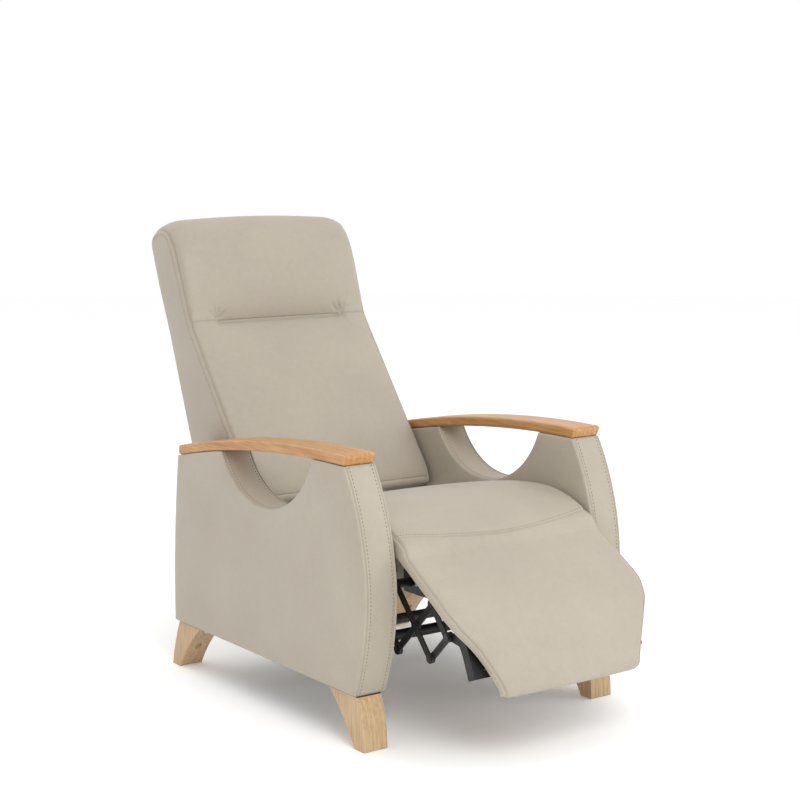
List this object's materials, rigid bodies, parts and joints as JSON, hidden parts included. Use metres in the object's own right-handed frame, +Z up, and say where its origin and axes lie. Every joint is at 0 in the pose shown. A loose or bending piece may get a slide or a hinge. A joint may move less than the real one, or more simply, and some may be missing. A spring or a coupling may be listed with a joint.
{
  "type": "reclining armchair",
  "caption": "Leather reclining armchair with curved wooden arm caps, hand holes in closed arms, sabre legs and a footrest that folds out on a scissor linkage.",
  "frame": {"origin": "middle of the chair's bounding box, on the floor, with the footrest half raised", "axes": "+X to the right as seen from the front, +Y to the rear, +Z up"},
  "size_m": [0.72, 1.3412, 1.0642],
  "materials": {
    "leather": "fine grained beige leather, semi-matte, sewn with matching thread",
    "cap_wood": "honey-coloured beech, satin lacquer",
    "leg_wood": "pale beech, satin lacquer",
    "plywood": "raw birch plywood",
    "webbing": "black woven elastic webbing",
    "black_steel": "black powder coat",
    "rivet_steel": "dark plated rivets",
    "bolt_steel": "zinc plated"
  },
  "bodies": {
    "base": {"arm_frame_left": "plywood", "arm_frame_right": "plywood", "arm_cover_left": "leather", "arm_cover_right": "leather", "arm_cap_left": "cap_wood", "arm_cap_right": "cap_wood", "cap_screws": "bolt_steel", "front_leg_left": "leg_wood", "front_leg_right": "leg_wood", "rear_leg_left": "leg_wood", "rear_leg_right": "leg_wood", "leg_plates": "black_steel", "leg_bolts": "bolt_steel", "base_rail_left": "black_steel", "base_rail_right": "black_steel", "front_cross_tube": "black_steel", "rear_cross_tube": "black_steel", "rail_bolts": "bolt_steel", "rear_panel": "leather", "base_pivots": "rivet_steel"},
    "rear_swing": {"swing_links_rear": "black_steel"},
    "front_swing": {"swing_links_front": "black_steel"},
    "seat": {"seat_plate_left": "black_steel", "seat_plate_right": "black_steel", "seat_frame": "plywood", "seat_webbing": "webbing", "seat_cushion": "leather", "seat_pivots": "rivet_steel"},
    "back": {"back_frame": "plywood", "back_webbing": "webbing", "back_cushion": "leather", "head_cushion": "leather", "back_cover": "leather", "back_bracket_left": "black_steel", "back_bracket_right": "black_steel", "bracket_bolts": "bolt_steel"},
    "footrest": {"footrest_board": "plywood", "footrest_pad": "leather", "footrest_bracket_left": "black_steel", "footrest_bracket_right": "black_steel", "bracket_screws": "bolt_steel", "footrest_pivots": "rivet_steel"},
    "main_links": {"main_link_left": "black_steel", "main_link_right": "black_steel", "main_link_pivots": "rivet_steel"},
    "cross_links": {"cross_link_left": "black_steel", "cross_link_right": "black_steel", "cross_link_pivots": "rivet_steel"},
    "lower_links": {"lower_link_left": "black_steel", "lower_link_right": "black_steel"},
    "upper_links": {"upper_link_left": "black_steel", "upper_link_right": "black_steel"},
    "drive_links": {"drive_link_left": "black_steel", "drive_link_right": "black_steel", "torsion_tube": "black_steel"}
  },
  "joints": [
    {"name": "seat_swing", "type": "hinge", "parent": "base", "child": "rear_swing", "pos_m": [0, 0.1232, 0.155], "axis": [1, 0, 0], "range_deg": [-4, 13.3]},
    {"name": "front_swing", "type": "hinge", "parent": "base", "child": "front_swing", "pos_m": [0, -0.1968, 0.155], "axis": [1, 0, 0], "range_deg": [-4, 13.3]},
    {"name": "seat_level", "type": "hinge", "parent": "rear_swing", "child": "seat", "pos_m": [0, 0.1232, 0.235], "axis": [1, 0, 0], "range_deg": [-13.3, 4]},
    {"name": "back_recline", "type": "hinge", "parent": "seat", "child": "back", "pos_m": [0, 0.1982, 0.375], "axis": [-1, 0, 0], "range_deg": [-6, 20]},
    {"name": "footrest_raise", "type": "hinge", "parent": "seat", "child": "footrest", "pos_m": [0, -0.3928, 0.432], "axis": [-1, 0, 0], "range_deg": [-58, 22]},
    {"name": "main_link_swing", "type": "hinge", "parent": "seat", "child": "main_links", "pos_m": [0, -0.3348, 0.374], "axis": [-1, 0, 0], "range_deg": [-58, 22]},
    {"name": "drive_link_swing", "type": "hinge", "parent": "seat", "child": "drive_links", "pos_m": [0, -0.2652, 0.3044], "axis": [-1, 0, 0], "range_deg": [-58, 22]},
    {"name": "cross_link_turn", "type": "hinge", "parent": "main_links", "child": "cross_links", "pos_m": [0, -0.42863, 0.26797], "axis": [-1, 0, 0], "range_deg": [-22, 58]},
    {"name": "lower_link_turn", "type": "hinge", "parent": "main_links", "child": "lower_links", "pos_m": [0, -0.48141, 0.20833], "axis": [-1, 0, 0], "range_deg": [-22, 58]},
    {"name": "upper_link_turn", "type": "hinge", "parent": "cross_links", "child": "upper_links", "pos_m": [0, -0.48663, 0.32597], "axis": [-1, 0, 0], "range_deg": [-58, 22]}
  ],
  "couplings": [
    {"joint": "front_swing", "follows": "seat_swing", "ratio": 1},
    {"joint": "seat_level", "follows": "seat_swing", "ratio": -1},
    {"joint": "back_recline", "follows": "seat_swing", "ratio": 1.5},
    {"joint": "main_link_swing", "follows": "footrest_raise", "ratio": 1},
    {"joint": "drive_link_swing", "follows": "footrest_raise", "ratio": 1},
    {"joint": "cross_link_turn", "follows": "footrest_raise", "ratio": -1},
    {"joint": "lower_link_turn", "follows": "footrest_raise", "ratio": -1},
    {"joint": "upper_link_turn", "follows": "footrest_raise", "ratio": 1}
  ]
}
